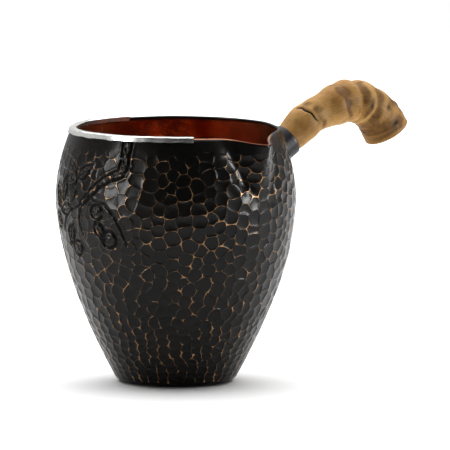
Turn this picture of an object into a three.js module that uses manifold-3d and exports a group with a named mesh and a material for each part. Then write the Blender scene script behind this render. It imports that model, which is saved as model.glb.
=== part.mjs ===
// A hammered copper pouring cup: pinched spout, silver strip on part of the rim, and a bamboo-root side
// handle in a short socket that is brazed to the wall. Millimetres, +Z up. The origin is the middle of the
// flat base, on the table. The handle runs along +X, and the spout is nearly at right angles to it.

import * as THREE from "three";
import { mergeVertices } from "three/addons/utils/BufferGeometryUtils.js";
import Module from "manifold-3d";

const wasm = await Module();
wasm.setup();

// The cup's wall, as the radius of its outside at each height
const RIM_Z = 89;
const RIM_R = 36.6;
const BELLY_Z = 65;
const BELLY_R = 42;
const FOOT_R = 20.2;
const FOOT_CURVE = 1.67;
const SHOULDER_CURVE = 1.87;
const WALL = 1.3;
const FLOOR = 1.6;
const FLOOR_R = 15.5;
const BASE_R = 17.5;
const BASE_CORNER_Z = 2;
const FLOOR_CORNER_Z = 4.5;

// The spout: angles in degrees round the cup, from +X
const SPOUT_ANGLE = -78;
const SPOUT_REACH = 9.4;
const SPOUT_WIDTH_LOW = 8;
const SPOUT_WIDTH_HIGH = 10;
const SPOUT_DROP = 2.6;
const SPOUT_DROP_WIDTH = 12;
const SPOUT_FROM_Z = 66;
const HOLLOW_ANGLE_LOW = 6;
const HOLLOW_ANGLE_HIGH = 17;
const HOLLOW_WIDTH_LOW = 2.8;
const HOLLOW_WIDTH_HIGH = 7.8;
const HOLLOW_DEPTH_LOW = 2.6;
const HOLLOW_DEPTH_HIGH = 1.1;
const HOLLOW_FROM_Z = 66.3;
const HANDLE_SIDE_LOW = 0.35;
const HANDLE_SIDE_HIGH = 0.05;

// The silver strip, a U section that sits over the rim
const STRIP_FROM = 84;
const STRIP_TO = 246;
const STRIP_THICK = 0.35;
const STRIP_SKIRT = 1.7;
const GAP = 0.3;

// The socket: its outer end, the rise of its axis, and the tube
const SOCKET_END = new THREE.Vector3(47.5, 0, 82.2);
const SOCKET_RISE = THREE.MathUtils.degToRad(33);
const SOCKET_OUTER_R = 5.9;
const SOCKET_INNER_R = 5.2;
const SOCKET_LENGTH = 16;
const BEAD_WIDTH = 1.2;
const BEAD_THICK = 1;

// The handle: its middle line from inside the socket to the cut end, as X and Z
const HANDLE_LINE = [
  [42.64, 79.04],
  [50.1, 84.2],
  [56.3, 88.8],
  [64.5, 92.1],
  [72.7, 94.2],
  [78.8, 93.3],
  [83.9, 90.2],
  [87.6, 86.4],
  [89.9, 82.7],
];
const TENON_R = 4.9;
const TENON_LENGTH = 5.8;
// Thickness along the handle: share of the length past the shoulder, and radius there
const HANDLE_RADII = [
  [0, 5.4],
  [0.15, 6.2],
  [0.3, 6.1],
  [0.5, 7.2],
  [0.66, 7.5],
  [0.8, 7.5],
  [0.93, 8.3],
  [1, 8.4],
];
const RING_SHARES = [0.17, 0.42, 0.58, 0.68, 0.77, 0.86];
const RING_HEIGHT = 0.35;
const RING_WIDTH = 0.03;
const HANDLE_STEPS = 34;

// The nail through the socket's side, away from the spout
const PIN_BACK = 3;
const PIN_R = 0.8;
const PIN_HOLE_R = 1.1;
const PIN_INNER_END = 2.6;
const PIN_HEAD_R = 1.6;
const PIN_HEAD_HEIGHT = 0.7;

const ROUND_STEPS = 72;

// Materials

const patina = new THREE.MeshStandardMaterial({ color: 0x2f2924, metalness: 1, roughness: 0.38 });
const silver = new THREE.MeshStandardMaterial({ color: 0xd4d8d2, metalness: 1, roughness: 0.18 });
const socketCopper = new THREE.MeshStandardMaterial({ color: 0x3a3c42, metalness: 1, roughness: 0.42 });
const brazeAlloy = new THREE.MeshStandardMaterial({ color: 0x4a453c, metalness: 1, roughness: 0.5 });
const bambooRoot = new THREE.MeshStandardMaterial({ color: 0xac8350, metalness: 0, roughness: 0.55 });
const nailCopper = new THREE.MeshStandardMaterial({ color: 0x7d4a30, metalness: 1, roughness: 0.4 });

// Meshes and solids

function solidFrom(geometry) {
  const bare = geometry.clone();
  bare.deleteAttribute("normal");
  bare.deleteAttribute("uv");
  const merged = mergeVertices(bare, 1e-4);
  const triVerts = new Uint32Array(merged.index.array);
  const vertProperties = merged.attributes.position.array;
  return new wasm.Manifold(new wasm.Mesh({ numProp: 3, vertProperties, triVerts }));
}

function geometryFrom(solid) {
  const { numProp, numVert, vertProperties, triVerts } = solid.getMesh();
  const corners = new Float32Array(numVert * 3);
  for (let i = 0; i < numVert; i++) {
    corners.set(vertProperties.subarray(i * numProp, i * numProp + 3), i * 3);
  }
  const geometry = new THREE.BufferGeometry();
  geometry.setAttribute("position", new THREE.BufferAttribute(corners, 3));
  geometry.setIndex(new THREE.BufferAttribute(triVerts, 1));
  geometry.computeVertexNormals();
  return geometry;
}

function piece(name, geometry, material) {
  const mesh = new THREE.Mesh(geometry, material);
  mesh.name = name;
  return mesh;
}

// Shape of the cup

function wallRadius(z) {
  if (z < BELLY_Z) {
    return BELLY_R - (BELLY_R - FOOT_R) * ((BELLY_Z - z) / BELLY_Z) ** FOOT_CURVE;
  }
  return BELLY_R - (BELLY_R - RIM_R) * ((z - BELLY_Z) / (RIM_Z - BELLY_Z)) ** SHOULDER_CURVE;
}

function rise(z, fromZ, power) {
  return THREE.MathUtils.clamp((z - fromZ) / (RIM_Z - fromZ), 0, 1) ** power;
}

// Draws the wall out to the spout's beak, presses it in on both sides, and lowers the lip.
function pinchSpout(geometry) {
  const position = geometry.attributes.position;
  const p = new THREE.Vector3();
  for (let i = 0; i < position.count; i++) {
    p.fromBufferAttribute(position, i);
    const angle = Math.atan2(p.y, p.x);
    const turn = THREE.MathUtils.radToDeg(angle) - SPOUT_ANGLE;
    const off = Math.abs(THREE.MathUtils.euclideanModulo(turn + 180, 360) - 180);
    const beakWidth = THREE.MathUtils.lerp(SPOUT_WIDTH_LOW, SPOUT_WIDTH_HIGH, rise(p.z, SPOUT_FROM_Z, 1));
    const beak = SPOUT_REACH * Math.exp(-((off / beakWidth) ** 1.5)) * rise(p.z, SPOUT_FROM_Z, 1.6);
    const height = rise(p.z, HOLLOW_FROM_Z, 1);
    const middle = THREE.MathUtils.lerp(HOLLOW_ANGLE_LOW, HOLLOW_ANGLE_HIGH, height);
    const width = THREE.MathUtils.lerp(HOLLOW_WIDTH_LOW, HOLLOW_WIDTH_HIGH, height);
    const onHandleSide = THREE.MathUtils.euclideanModulo(turn, 360) < 180;
    const share = onHandleSide ? THREE.MathUtils.lerp(HANDLE_SIDE_LOW, HANDLE_SIDE_HIGH, height) : 1;
    const fullDepth = THREE.MathUtils.lerp(HOLLOW_DEPTH_LOW, HOLLOW_DEPTH_HIGH, height);
    const depth = fullDepth * share * THREE.MathUtils.smoothstep(height, 0, 0.4);
    const hollow = depth * Math.exp(-(Math.abs((off - middle) / width) ** 2.4));
    const drop = SPOUT_DROP * Math.exp(-((off / SPOUT_DROP_WIDTH) ** 2)) * rise(p.z, SPOUT_FROM_Z, 2);
    const radius = Math.hypot(p.x, p.y);
    const moved = radius > BASE_R ? radius + beak - hollow : radius;
    position.setXYZ(i, moved * Math.cos(angle), moved * Math.sin(angle), p.z - drop);
  }
  return geometry;
}

// Turns an outline of (radius, height) points round +Z, with one column of points on the spout's middle.
function turned(outline) {
  const start = THREE.MathUtils.degToRad(SPOUT_ANGLE + 90);
  return new THREE.LatheGeometry(outline, ROUND_STEPS, start).rotateX(Math.PI / 2);
}

// Points up the wall between two heights, a little way in or out from its outside.
function wallPoints(offset, fromZ, toZ, steps) {
  return Array.from({ length: steps + 1 }, (_, i) => {
    const z = fromZ + ((toZ - fromZ) * i) / steps;
    return new THREE.Vector2(wallRadius(z) + offset, z);
  });
}

function roundedCorner(start, corner, end) {
  return new THREE.QuadraticBezierCurve(start, corner, end).getPoints(3);
}

const point = (r, z) => new THREE.Vector2(r, z);

// The vessel

const lipR = WALL / 2;
const lipZ = RIM_Z - lipR;
const baseCorner = roundedCorner(
  point(BASE_R, 0),
  point(FOOT_R, 0),
  point(wallRadius(BASE_CORNER_Z), BASE_CORNER_Z),
);
const floorCorner = roundedCorner(
  point(wallRadius(FLOOR_CORNER_Z) - WALL, FLOOR_CORNER_Z),
  point(FOOT_R - WALL, FLOOR),
  point(FLOOR_R, FLOOR),
);
const lip = Array.from({ length: 3 }, (_, i) => {
  const turn = ((i + 1) * Math.PI) / 4;
  return point(RIM_R - lipR + lipR * Math.cos(turn), lipZ + lipR * Math.sin(turn));
});
const vesselOutline = [
  point(0, 0),
  ...baseCorner.slice(0, -1),
  ...wallPoints(0, BASE_CORNER_Z, lipZ, 14),
  ...lip,
  ...wallPoints(-WALL, lipZ, FLOOR_CORNER_Z, 12).slice(0, -1),
  ...floorCorner,
  point(0, FLOOR),
];
const vessel = piece("vessel", pinchSpout(turned(vesselOutline)), patina);

// The silver strip: a full U-section ring, cut to its stretch of the rim

function sector(fromDegrees, toDegrees, radius, height) {
  const outline = new THREE.Shape().moveTo(0, 0);
  const steps = 12;
  for (let i = 0; i <= steps; i++) {
    const angle = THREE.MathUtils.degToRad(fromDegrees + ((toDegrees - fromDegrees) * i) / steps);
    outline.lineTo(radius * Math.cos(angle), radius * Math.sin(angle));
  }
  outline.closePath();
  return new THREE.ExtrudeGeometry(outline, { depth: height, bevelEnabled: false });
}

const stripReach = GAP + STRIP_THICK;
const stripTopZ = RIM_Z + stripReach;
const stripLowZ = stripTopZ - STRIP_SKIRT;
const stripOutline = [
  point(wallRadius(stripLowZ) + stripReach, stripLowZ),
  point(RIM_R + stripReach, stripTopZ - STRIP_THICK),
  point(RIM_R + stripReach - STRIP_THICK, stripTopZ),
  point(RIM_R - WALL - stripReach + STRIP_THICK, stripTopZ),
  point(RIM_R - WALL - stripReach, stripTopZ - STRIP_THICK),
  point(wallRadius(stripLowZ) - WALL - stripReach, stripLowZ),
  point(wallRadius(stripLowZ) - WALL - GAP, stripLowZ),
  point(RIM_R - WALL - GAP, RIM_Z + GAP),
  point(RIM_R + GAP, RIM_Z + GAP),
  point(wallRadius(stripLowZ) + GAP, stripLowZ),
  point(wallRadius(stripLowZ) + stripReach, stripLowZ),
];
const stripRing = solidFrom(pinchSpout(turned(stripOutline)));
const stripSector = solidFrom(sector(STRIP_FROM, STRIP_TO, BELLY_R + 10, RIM_Z + 10));
const silverStrip = piece("silver_rim_strip", geometryFrom(stripRing.intersect(stripSector)), silver);

// The socket and its braze, both shaped to the wall

const alongSocket = new THREE.Vector3(Math.cos(SOCKET_RISE), 0, Math.sin(SOCKET_RISE));
const awayFromSpout = new THREE.Vector3(0, 1, 0);

// The cup's outside as one full solid, grown outwards.
function cupBlock(growth) {
  const outline = [point(0, 0), ...wallPoints(growth, 0, RIM_Z, 16), point(0, RIM_Z)];
  return solidFrom(pinchSpout(turned(outline)));
}

// Turns an outline of (radius, distance) points round the line from a point in a direction.
function turnedAlong(outline, from, direction, steps) {
  const turn = new THREE.Quaternion().setFromUnitVectors(new THREE.Vector3(0, 1, 0), direction);
  return new THREE.LatheGeometry(outline, steps).applyQuaternion(turn).translate(from.x, from.y, from.z);
}

function socketTube(innerR, outerR) {
  const outline = [
    point(innerR, -SOCKET_LENGTH),
    point(outerR, -SOCKET_LENGTH),
    point(outerR, 0),
    point(innerR, 0),
    point(innerR, -SOCKET_LENGTH),
  ];
  return solidFrom(turnedAlong(outline, SOCKET_END, alongSocket, 40));
}

function pinRod(radius, fromDistance, toDistance) {
  const outline = [
    point(0, fromDistance),
    point(radius, fromDistance),
    point(radius, toDistance),
    point(0, toDistance),
  ];
  return solidFrom(turnedAlong(outline, pinStart, awayFromSpout, 16));
}

const pinStart = SOCKET_END.clone().addScaledVector(alongSocket, -PIN_BACK);
const pinHole = pinRod(PIN_HOLE_R, PIN_INNER_END - GAP, SOCKET_OUTER_R + 2);
const gapBlock = cupBlock(GAP);
const socket = socketTube(SOCKET_INNER_R, SOCKET_OUTER_R).subtract(gapBlock).subtract(pinHole);
const handleSocket = piece("handle_socket", geometryFrom(socket), socketCopper);

const bead = socketTube(SOCKET_OUTER_R + GAP, SOCKET_OUTER_R + GAP + BEAD_WIDTH)
  .subtract(gapBlock)
  .intersect(cupBlock(GAP + BEAD_THICK));
const brazeBead = piece("socket_braze_bead", geometryFrom(bead), brazeAlloy);

// The handle: a turned form with a tenon, bent along its middle line

const handleCurve = new THREE.CatmullRomCurve3(HANDLE_LINE.map(([x, z]) => new THREE.Vector3(x, 0, z)));
const handleLength = handleCurve.getLength();
const shoulderAt = TENON_LENGTH + GAP;

function handleRadius(share) {
  const after = Math.max(1, HANDLE_RADII.findIndex(([at]) => at >= share));
  const [fromShare, fromR] = HANDLE_RADII[after - 1];
  const [toShare, toR] = HANDLE_RADII[after];
  const eased = THREE.MathUtils.smoothstep(share, fromShare, toShare);
  const rings = RING_SHARES.map((at) => RING_HEIGHT * Math.exp(-(((share - at) / RING_WIDTH) ** 2)));
  return fromR + (toR - fromR) * eased + rings.reduce((sum, height) => sum + height, 0);
}

const handleOutline = [
  point(0, 0),
  point(TENON_R, 0),
  point(TENON_R, shoulderAt / 2),
  point(TENON_R, shoulderAt),
];
for (let i = 0; i <= HANDLE_STEPS; i++) {
  const share = i / HANDLE_STEPS;
  handleOutline.push(point(handleRadius(share), shoulderAt + (handleLength - shoulderAt) * share));
}
handleOutline.push(point(0, handleLength));

function bentAlong(geometry, curve, length) {
  const position = geometry.attributes.position;
  const across = new THREE.Vector3(0, 1, 0);
  const up = new THREE.Vector3();
  const placed = new THREE.Vector3();
  for (let i = 0; i < position.count; i++) {
    const share = THREE.MathUtils.clamp(position.getY(i) / length, 0, 1);
    const tangent = curve.getTangentAt(share);
    up.crossVectors(across, tangent);
    placed.copy(curve.getPointAt(share));
    placed.addScaledVector(across, position.getX(i)).addScaledVector(up, position.getZ(i));
    position.setXYZ(i, placed.x, placed.y, placed.z);
  }
  return geometry;
}

const grip = solidFrom(bentAlong(new THREE.LatheGeometry(handleOutline, 20), handleCurve, handleLength));
const handleGrip = piece("handle_grip", geometryFrom(grip.subtract(pinHole)), bambooRoot);

// The nail: a shank with a domed head outside the socket

const headAt = SOCKET_OUTER_R + GAP;
const pinOutline = [
  point(0, PIN_INNER_END),
  point(PIN_R, PIN_INNER_END),
  point(PIN_R, headAt),
  point(PIN_HEAD_R, headAt),
  ...roundedCorner(
    point(PIN_HEAD_R, headAt + PIN_HEAD_HEIGHT / 3),
    point(PIN_HEAD_R, headAt + PIN_HEAD_HEIGHT),
    point(0, headAt + PIN_HEAD_HEIGHT),
  ),
];
const handlePin = piece("handle_pin", turnedAlong(pinOutline, pinStart, awayFromSpout, 16), nailCopper);

const cup = new THREE.Group();
cup.add(vessel, silverStrip, handleSocket, brazeBead, handleGrip, handlePin);

export default cup;
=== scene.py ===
import math

import bmesh
import bpy
import numpy as np
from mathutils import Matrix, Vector, noise
from mathutils.geometry import delaunay_2d_cdt


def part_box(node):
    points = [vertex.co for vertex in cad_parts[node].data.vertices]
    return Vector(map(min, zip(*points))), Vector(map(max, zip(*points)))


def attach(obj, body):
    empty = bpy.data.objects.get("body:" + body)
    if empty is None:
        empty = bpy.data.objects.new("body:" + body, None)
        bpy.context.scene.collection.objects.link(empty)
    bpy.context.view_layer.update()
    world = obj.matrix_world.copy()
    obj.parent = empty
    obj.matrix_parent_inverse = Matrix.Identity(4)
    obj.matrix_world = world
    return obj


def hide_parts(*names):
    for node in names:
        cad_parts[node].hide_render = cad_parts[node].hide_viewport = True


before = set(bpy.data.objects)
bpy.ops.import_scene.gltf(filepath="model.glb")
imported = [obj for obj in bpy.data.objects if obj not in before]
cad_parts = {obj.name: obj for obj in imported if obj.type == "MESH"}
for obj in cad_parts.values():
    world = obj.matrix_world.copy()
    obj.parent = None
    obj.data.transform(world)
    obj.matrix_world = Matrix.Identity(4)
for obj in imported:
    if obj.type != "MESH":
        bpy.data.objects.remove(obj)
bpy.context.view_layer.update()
MM = 0.001

# ---------------------------------------------------------------- The table, the light and the camera
# The cup stands on a pale table in a studio: a wide soft light overhead, a tall soft light on each side,
# a bright wall behind the cup, and a dim room on the side that it is looked at from.

CAMERA_TURN = math.radians(-124)
CAMERA_RISE = math.radians(6.66)
CAMERA_DISTANCE = 3.0
VIEW_WIDTH = 0.1575

ahead = Vector((math.cos(CAMERA_TURN), math.sin(CAMERA_TURN), 0))
to_the_right = Vector((-ahead.y, ahead.x, 0))
looked_at = to_the_right * 0.01726 + Vector((0, 0, 0.0548))


def aim(thing, at):
    thing.rotation_euler = (at - thing.location).to_track_quat("-Z", "Y").to_euler()


camera = bpy.data.objects.new("camera", bpy.data.cameras.new("camera"))
bpy.context.scene.collection.objects.link(camera)
bpy.context.scene.camera = camera
toward_camera = ahead * math.cos(CAMERA_RISE) + Vector((0, 0, math.sin(CAMERA_RISE)))
camera.location = looked_at + toward_camera * CAMERA_DISTANCE
camera.data.lens = camera.data.sensor_width * CAMERA_DISTANCE / VIEW_WIDTH
camera.data.clip_end = 50
aim(camera, looked_at)


class Wire:
    """A socket in a finish, so that shader sums are written as sums."""

    def __init__(self, finish, socket):
        self.finish = finish
        self.socket = socket

    def __add__(self, other):
        return self.finish.sum("ADD", self, other)

    def __radd__(self, other):
        return self.finish.sum("ADD", other, self)

    def __sub__(self, other):
        return self.finish.sum("SUBTRACT", self, other)

    def __rsub__(self, other):
        return self.finish.sum("SUBTRACT", other, self)

    def __mul__(self, other):
        return self.finish.sum("MULTIPLY", self, other)

    def larger(self, other):
        return self.finish.sum("MAXIMUM", self, other)

    def between(self, low, high):
        """0 up to low and 1 from high on, with a soft step between them."""
        reach = {"Value": self, "From Min": low, "From Max": high}
        return self.finish.add("MapRange", {"interpolation_type": "SMOOTHSTEP"}, reach)


class Finish:
    """The nodes of one material, or of the room round the table."""

    def __init__(self, owner):
        owner.use_nodes = True
        self.owner = owner
        self.tree = owner.node_tree

    def feed(self, socket, value):
        if isinstance(value, Wire):
            self.tree.links.new(value.socket, socket)
        else:
            socket.default_value = value

    def add(self, kind, settings=None, inputs=None, output=0):
        node = self.tree.nodes.new("ShaderNode" + kind)
        for name, value in (settings or {}).items():
            setattr(node, name, value)
        for name, value in (inputs or {}).items():
            self.feed(node.inputs[name], value)
        return Wire(self, node.outputs[output])

    def sum(self, operation, first, second):
        return self.add("Math", {"operation": operation}, {0: first, 1: second})

    def mix(self, share, first, second):
        return self.add("Mix", {"data_type": "RGBA"}, {0: share, 6: first, 7: second}, output=2)

    def mask(self, name):
        return self.add("Attribute", {"attribute_name": name}, output="Fac")

    def mottle(self, place, scale, detail, roughness=0.5):
        sizes = {"Vector": place, "Scale": scale, "Detail": detail, "Roughness": roughness}
        return self.add("TexNoise", {}, sizes, output=0)

    def place(self):
        return self.add("TexCoord", output="Object")

    def bumps(self, height, distance, strength):
        return self.add("Bump", {}, {"Height": height, "Distance": distance, "Strength": strength})

    def surface(self, **values):
        shader = self.tree.nodes["Principled BSDF"]
        for name, value in values.items():
            self.feed(shader.inputs[name.replace("_", " ")], value)
        return self.owner


def new_finish(name):
    return Finish(bpy.data.materials.new(name))


def pale_table():
    finish = new_finish("pale_table")
    return finish.surface(Base_Color=(0.98, 0.98, 0.98, 1), Roughness=0.9)


# How far the table goes to each side and away behind the cup, and toward the camera
TABLE_HALF = 1.3
TABLE_EDGE = 0.27

table_mesh = bpy.data.meshes.new("table")
table_corners = []
for out, across in ((TABLE_EDGE, -1), (TABLE_EDGE, 1), (-TABLE_HALF, 1), (-TABLE_HALF, -1)):
    table_corners.append(tuple(ahead * out + to_the_right * across * TABLE_HALF))
table_mesh.from_pydata(table_corners, [], [(0, 1, 2, 3)])
table_mesh.materials.append(pale_table())
table = bpy.data.objects.new("table", table_mesh)
bpy.context.scene.collection.objects.link(table)


def soft_light(name, turn, rise, distance, size, brightness):
    """A rectangular light at a turn from the camera's side, of an even brightness."""
    lamp = bpy.data.lights.new(name, "AREA")
    lamp.shape = "RECTANGLE"
    lamp.size, lamp.size_y = size
    lamp.energy = brightness * math.pi * size[0] * size[1]
    light = bpy.data.objects.new(name, lamp)
    bpy.context.scene.collection.objects.link(light)
    angle = CAMERA_TURN + math.radians(turn)
    flat = math.cos(math.radians(rise)) * distance
    light.location = (flat * math.cos(angle), flat * math.sin(angle), math.sin(math.radians(rise)) * distance)
    aim(light, Vector((0, 0, 0.06)))
    return light


soft_light("overhead_light", 180, 72, 2.6, (4.4, 4.0), 3.3)
# The side lights are only there to be seen in the gloss, so they leave matt surfaces as they are
soft_light("left_light", -60, 16, 1.6, (0.5, 0.95), 26.0).visible_diffuse = False
soft_light("right_light", 78, 11, 1.6, (0.46, 0.6), 42.0).visible_diffuse = False

room = bpy.data.worlds.new("room")
bpy.context.scene.world = room
bpy.context.scene.view_settings.view_transform = "Standard"


def light_the_room():
    finish = Finish(room)
    direction = finish.add("TexCoord", output="Generated")
    away = finish.add("VectorMath", {"operation": "DOT_PRODUCT"}, {0: direction, 1: -ahead}, output="Value")
    up = finish.add("SeparateXYZ", {}, {0: direction}, output="Z")
    behind = away.between(-0.1, 0.35)
    ceiling = up.between(0.5, 0.9)
    brightness = 0.01 + behind * 0.55 + (1 - behind) * ceiling * 0.2
    seen = finish.add("LightPath", output="Is Camera Ray")
    background = finish.tree.nodes["Background"]
    finish.feed(background.inputs["Strength"], brightness.larger(seen))
    finish.feed(background.inputs["Color"], (1, 1, 1, 1))


light_the_room()

# ---------------------------------------------------------------- The cup
# One copper sheet raised over stakes to a round belly, hammered all over in overlapping blows, with a spout
# pinched out of the rim. The outside is darkened with a near-black patina, which the ridges between the
# blows are rubbed free of. The inside is bare red copper. A fruiting branch is chased below the rim.

_, vessel_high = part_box("vessel")
RIM_Z = vessel_high.z / MM
BELLY_R = vessel_high.y / MM
BELLY_Z = 0.73 * RIM_Z
RIM_R = 0.872 * BELLY_R
FOOT_R = 0.481 * BELLY_R
WALL = 1.3
FLOOR = 1.6
FLOOR_R = 15.5
BASE_R = 17.5
BASE_CORNER_Z = 2.0
FLOOR_CORNER_Z = 4.5
LIP_R = WALL / 2
LIP_Z = RIM_Z - LIP_R

# The spout's beak, and the hollow on each side of it. Widths and angles are in degrees round the cup, and
# a pair of numbers is for the spout's start and for the rim.
SPOUT_TURN = math.radians(-78)
SPOUT_FROM_Z = 0.742 * RIM_Z
SPOUT_DROP = 2.0
BEAK_OUT = 9.4
BEAK_WIDTHS = (8, 10)
HOLLOW_FROM_Z = 0.745 * RIM_Z
HOLLOW_ANGLES = (6, 17)
HOLLOW_WIDTHS = (2.8, 7.8)
HOLLOW_DEPTHS = (2.6, 1.1)
# How much of the hollow there is on the handle's side
HANDLE_SIDE_SHARES = (0.35, 0.05)
# Where the rim stands a little higher, and by how much
BACK_TURN = math.radians(56)
BACK_LIFT = 0.5
# Where the wall is a little fuller, and by how much
FULLER_TURN = math.radians(-34)
FULLER_OUT = 0.6

# The blows are in columns, and some of the columns run out toward the foot
TURNS_OF_BLOWS = 59
COLUMNS_RUN_OUT = 18
# The height of a blow over its width, at these shares of the climb from the foot to the rim
BLOW_SHARES = (0, 0.22, 0.45, 0.72)
BLOW_HEIGHTS = (0.68, 0.78, 1.2, 1.02)
RIDGE_STEP = 1.1
FINE_STEP = 0.42
SMOOTH_BAND_FROM = RIM_Z - 7.0
SMOOTH_BAND_TO = RIM_Z - 3.5

dice = np.random.default_rng(11)


def soft_step(value, low, high):
    share = np.clip((np.asarray(value, float) - low) / (high - low), 0, 1)
    return share * share * (3 - 2 * share)


def bell(value, middle, width):
    return np.exp(-(((value - middle) / width) ** 2))


def blend(low, high, share):
    return low + (high - low) * share


def turned_from(start, turn):
    """How far a turn is from another one, the short way round."""
    return (turn - start + math.pi) % (2 * math.pi) - math.pi


def ripple(points, size, seed=0.0):
    """Smooth random values from -1 to 1, with swells of about this size."""
    return np.array([noise.noise(Vector(p) / size + Vector((seed, seed, seed))) for p in points])


def wall_radius(z):
    z = np.asarray(z, float)
    below = BELLY_R - (BELLY_R - FOOT_R) * (np.clip(BELLY_Z - z, 0, None) / BELLY_Z) ** 1.67
    above = BELLY_R - (BELLY_R - RIM_R) * (np.clip(z - BELLY_Z, 0, None) / (RIM_Z - BELLY_Z)) ** 1.87
    return np.where(z < BELLY_Z, below, above)


def on_wall(turn, z, out=0.0):
    """The point at this turn and height, this far out from the plain wall and square to it."""
    slope = (wall_radius(z + 0.1) - wall_radius(z - 0.1)) / 0.2
    lean = np.hypot(1, slope)
    radius = wall_radius(z) + out / lean
    return np.column_stack([radius * np.cos(turn), radius * np.sin(turn), z - out * slope / lean])


def rise(z, start, power):
    return np.clip((z - start) / (RIM_Z - start), 0, 1) ** power


def pinch(points):
    """Draws the spout's beak out of a plain round wall, and presses a hollow in on each side of it."""
    x, y, z = np.asarray(points, float).T
    radius = np.hypot(x, y)
    turn = np.arctan2(y, x)
    side = turned_from(SPOUT_TURN, turn)
    off = np.degrees(np.abs(side))
    handle_side = side > 0
    beak_width = blend(*BEAK_WIDTHS, rise(z, SPOUT_FROM_Z, 1))
    beak = BEAK_OUT * np.exp(-((off / beak_width) ** 1.5)) * rise(z, SPOUT_FROM_Z, 1.6)
    height = rise(z, HOLLOW_FROM_Z, 1)
    middle = blend(*HOLLOW_ANGLES, height)
    width = blend(*HOLLOW_WIDTHS, height)
    depth = blend(*HOLLOW_DEPTHS, height) * soft_step(height, 0, 0.4)
    hollow = depth * np.exp(-(np.abs((off - middle) / width) ** 2.4))
    # Low down, the wall swells a little beyond the hollow
    swell = 0.5 * soft_step(height, 0, 0.3) * (1 - height) ** 2
    hollow -= swell * bell(off, middle + 1.7 * width, 0.8 * width)
    hollow *= np.where(handle_side, blend(*HANDLE_SIDE_SHARES, height), 1.0)
    drop = SPOUT_DROP * bell(off, 0, np.where(handle_side, 15, 10.5)) + 0.6 * bell(off, 0, 30)
    drop *= rise(z, SPOUT_FROM_Z, 2)
    drop -= BACK_LIFT * np.clip(np.cos(turn - BACK_TURN), 0, 1) * rise(z, SPOUT_FROM_Z, 1)
    # The rim was trued by eye, so it waves a little in and out
    lobes = (0.22 * np.sin(7 * turn + 0.8) + 0.16 * np.sin(12 * turn + 2.1)) * rise(z, 0.8 * RIM_Z, 1.5)
    moved = np.where(radius > BASE_R, radius + beak - hollow + lobes, radius)
    return np.column_stack([moved * np.cos(turn), moved * np.sin(turn), z - drop])


# The wall is laid out flat so that every blow keeps its shape: turn across, and up it the climb, which
# grows by a step of the wall over its radius there.
heights = np.linspace(BASE_CORNER_Z, LIP_Z, 600)
steps = np.hypot(np.diff(heights), np.diff(wall_radius(heights)))
middles = wall_radius((heights[1:] + heights[:-1]) / 2)
climbs = np.concatenate([[0], np.cumsum(steps / middles)])
CLIMB_TOP = climbs[-1]


def height_at(climb):
    return np.interp(climb, climbs, heights)


def strike_places():
    """The turn and climb of every blow, in columns that wander a little."""
    levels = np.linspace(0, CLIMB_TOP, 300)
    run_out = np.full(TURNS_OF_BLOWS, -1.0)
    which = (np.arange(COLUMNS_RUN_OUT) + dice.uniform(0.1, 0.9, COLUMNS_RUN_OUT)) / COLUMNS_RUN_OUT
    run_out[(which * TURNS_OF_BLOWS).astype(int)] = dice.uniform(0.1, 0.6, COLUMNS_RUN_OUT) * CLIMB_TOP
    room = soft_step(levels - run_out[:, None], -0.12, 0.12)
    in_all = room.sum(0)
    middles = 2 * math.pi * (np.cumsum(room, 0) - room / 2) / in_all
    tall = np.interp(levels / CLIMB_TOP, BLOW_SHARES, BLOW_HEIGHTS)
    rows_per_climb = in_all / (2 * math.pi * tall)
    rows_between = (rows_per_climb[1:] + rows_per_climb[:-1]) / 2 * np.diff(levels)
    rows_up = np.concatenate([[0], np.cumsum(rows_between)])
    rows = round(rows_up[-1])
    places = []
    for column in range(TURNS_OF_BLOWS):
        start = 0.5 * (column % 2) + dice.uniform(-0.16, 0.16)
        for row in range(rows):
            up = min(max((row + 0.25 + start + dice.uniform(-0.22, 0.22)) / rows, 0.006), 0.994)
            climb = float(np.interp(up * rows_up[-1], rows_up, levels))
            width = 2 * math.pi / float(np.interp(climb, levels, in_all))
            # The columns are straighter toward the foot
            loose = 0.4 + 0.6 * float(soft_step(climb / CLIMB_TOP, 0.25, 0.55))
            turn = float(np.interp(climb, levels, middles[column])) + dice.uniform(-0.2, 0.2) * width * loose
            turn += 0.28 * width * loose * math.sin(5.2 * climb + 2.1 * math.sin(0.9 * column))
            if np.interp(climb, levels, room[column]) > 0.5:
                places.append((turn, climb))
    return np.array(places)


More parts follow.
